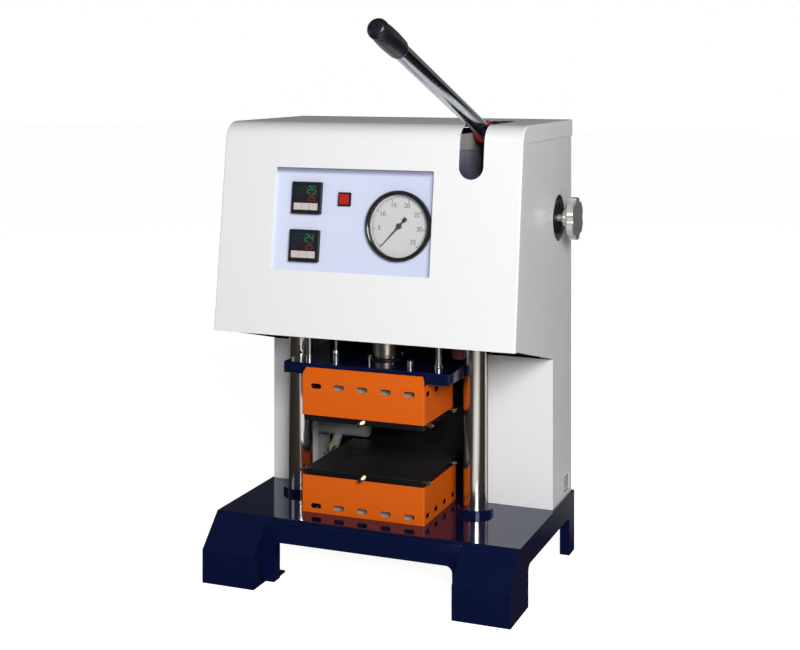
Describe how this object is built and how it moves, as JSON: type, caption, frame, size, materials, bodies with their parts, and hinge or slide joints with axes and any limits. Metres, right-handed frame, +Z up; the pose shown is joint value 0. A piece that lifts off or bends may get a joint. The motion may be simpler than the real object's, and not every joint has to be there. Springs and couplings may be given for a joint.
{
  "type": "laboratory hot press",
  "caption": "Bench hot press: heated platens on two columns, hand-pump lever, pressure gauge and temperature controllers in a sheet-steel head over a folded base.",
  "frame": {"origin": "on the bench, under the centre of the base's footprint", "axes": "+Z up, +X to the operator's right, +Y from the front to the rear"},
  "size_m": [0.5092, 0.634, 0.8324],
  "materials": {
    "navy_enamel": "smooth satin enamel",
    "white_enamel": "glossy enamel",
    "lavender_panel": "satin print film",
    "orange_enamel": "satin enamel",
    "red_enamel": "glossy enamel",
    "hard_chrome": "ground and polished",
    "machined_steel": "machined",
    "black_steel": "blackened, ground face",
    "cast_body": "painted casting",
    "insulation_board": "matte pressed board",
    "brass_fitting": "turned",
    "conduit_sheath": "ribbed flexible sheath",
    "black_plastic": "moulded",
    "black_gloss": "polished mould",
    "dark_window": "tinted, shows lit digits",
    "key_plastic": "fine texture",
    "red_lens": "translucent, lit",
    "dial_white": "printed with a plain scale",
    "gauge_glass": "clear"
  },
  "bodies": {
    "machine": {"base_frame": "navy_enamel", "bed_plate": "navy_enamel", "columns": "hard_chrome", "column_collars": "hard_chrome", "column_nuts": "machined_steel", "crosshead": "navy_enamel", "cylinder": "machined_steel", "hood_cover": "white_enamel", "side_panel_left": "white_enamel", "side_panel_right": "white_enamel", "cabinet_front_left": "white_enamel", "cabinet_front_right": "white_enamel", "rear_cover": "white_enamel", "frame_screws": "brass_fitting", "power_inlet": "black_plastic", "control_panel": "lavender_panel", "controller_cases": "black_plastic", "controller_windows": "dark_window", "switch_bezel": "black_plastic", "gauge_case": "black_gloss", "gauge_dial": "dial_white", "gauge_glass": "gauge_glass", "gauge_bezel": "black_gloss", "pump_body": "red_enamel", "pump_spring": "machined_steel", "pivot_pin": "machined_steel", "slot_shroud": "navy_enamel", "oil_tank": "navy_enamel", "valve_block": "red_enamel", "hydraulic_pipes": "machined_steel", "release_valve": "machined_steel", "lower_insulation": "insulation_board", "lower_platen": "black_steel", "lower_heaters": "machined_steel", "lower_guard": "orange_enamel", "lower_conduit": "conduit_sheath", "return_springs": "machined_steel"},
    "press_slide": {"moving_plate": "navy_enamel", "ram": "hard_chrome", "ram_flange": "black_steel", "upper_insulation": "insulation_board", "upper_platen": "black_steel", "upper_heaters": "machined_steel", "upper_guard": "orange_enamel", "upper_screws": "machined_steel", "return_rods": "machined_steel", "thermocouple": "machined_steel"},
    "lever": {"lever_yoke": "red_enamel", "lever_tube": "hard_chrome", "lever_grip": "black_plastic"},
    "plunger": {"pump_plunger": "machined_steel"},
    "release": {"release_knob": "hard_chrome"},
    "pointer": {"gauge_pointer": "black_plastic"},
    "power": {"power_button": "red_lens"},
    "key_upper_1": {"key_upper_1": "key_plastic"},
    "key_upper_2": {"key_upper_2": "key_plastic"},
    "key_upper_3": {"key_upper_3": "key_plastic"},
    "key_lower_1": {"key_lower_1": "key_plastic"},
    "key_lower_2": {"key_lower_2": "key_plastic"},
    "key_lower_3": {"key_lower_3": "key_plastic"}
  },
  "joints": [
    {"name": "ram_slide", "type": "slide", "parent": "machine", "child": "press_slide", "axis": [0, 0, -1], "range_m": [0, 0.073], "stiffness_N_per_m": 2500, "springref_m": -0.1, "deforming": ["return_springs"]},
    {"name": "lever_swing", "type": "hinge", "parent": "machine", "child": "lever", "pos_m": [0.16235, 0.0097, 0.6588], "axis": [-1, 0, 0], "range_deg": [-34.5, 65]},
    {"name": "plunger_slide", "type": "slide", "parent": "machine", "child": "plunger", "axis": [0, 0, 1], "range_m": [-0.0073, 0.0137], "deforming": ["pump_spring"]},
    {"name": "release_turn", "type": "hinge", "parent": "machine", "child": "release", "pos_m": [0.2567, 0.0947, 0.539], "axis": [1, 0, 0], "range_deg": [0, 180]},
    {"name": "pointer_turn", "type": "hinge", "parent": "machine", "child": "pointer", "pos_m": [0.0539, -0.11529, 0.54086], "axis": [0, 0.9914, -0.1308], "range_deg": [0, 273.7], "stiffness_Nm_per_rad": 0.01},
    {"name": "power_press", "type": "slide", "parent": "machine", "child": "power", "axis": [0, 0.9914, -0.1308], "range_m": [0, 0.003], "stiffness_N_per_m": 300, "springref_m": -0.002},
    {"name": "key_upper_1_press", "type": "slide", "parent": "machine", "child": "key_upper_1", "axis": [0, 0.9914, -0.1308], "range_m": [0, 0.0008], "stiffness_N_per_m": 400, "springref_m": -0.001},
    {"name": "key_upper_2_press", "type": "slide", "parent": "machine", "child": "key_upper_2", "axis": [0, 0.9914, -0.1308], "range_m": [0, 0.0008], "stiffness_N_per_m": 400, "springref_m": -0.001},
    {"name": "key_upper_3_press", "type": "slide", "parent": "machine", "child": "key_upper_3", "axis": [0, 0.9914, -0.1308], "range_m": [0, 0.0008], "stiffness_N_per_m": 400, "springref_m": -0.001},
    {"name": "key_lower_1_press", "type": "slide", "parent": "machine", "child": "key_lower_1", "axis": [0, 0.9914, -0.1308], "range_m": [0, 0.0008], "stiffness_N_per_m": 400, "springref_m": -0.001},
    {"name": "key_lower_2_press", "type": "slide", "parent": "machine", "child": "key_lower_2", "axis": [0, 0.9914, -0.1308], "range_m": [0, 0.0008], "stiffness_N_per_m": 400, "springref_m": -0.001},
    {"name": "key_lower_3_press", "type": "slide", "parent": "machine", "child": "key_lower_3", "axis": [0, 0.9914, -0.1308], "range_m": [0, 0.0008], "stiffness_N_per_m": 400, "springref_m": -0.001}
  ],
  "couplings": [
    {"joint": "plunger_slide", "follows": "lever_swing", "m_per_rad": 0.012}
  ]
}
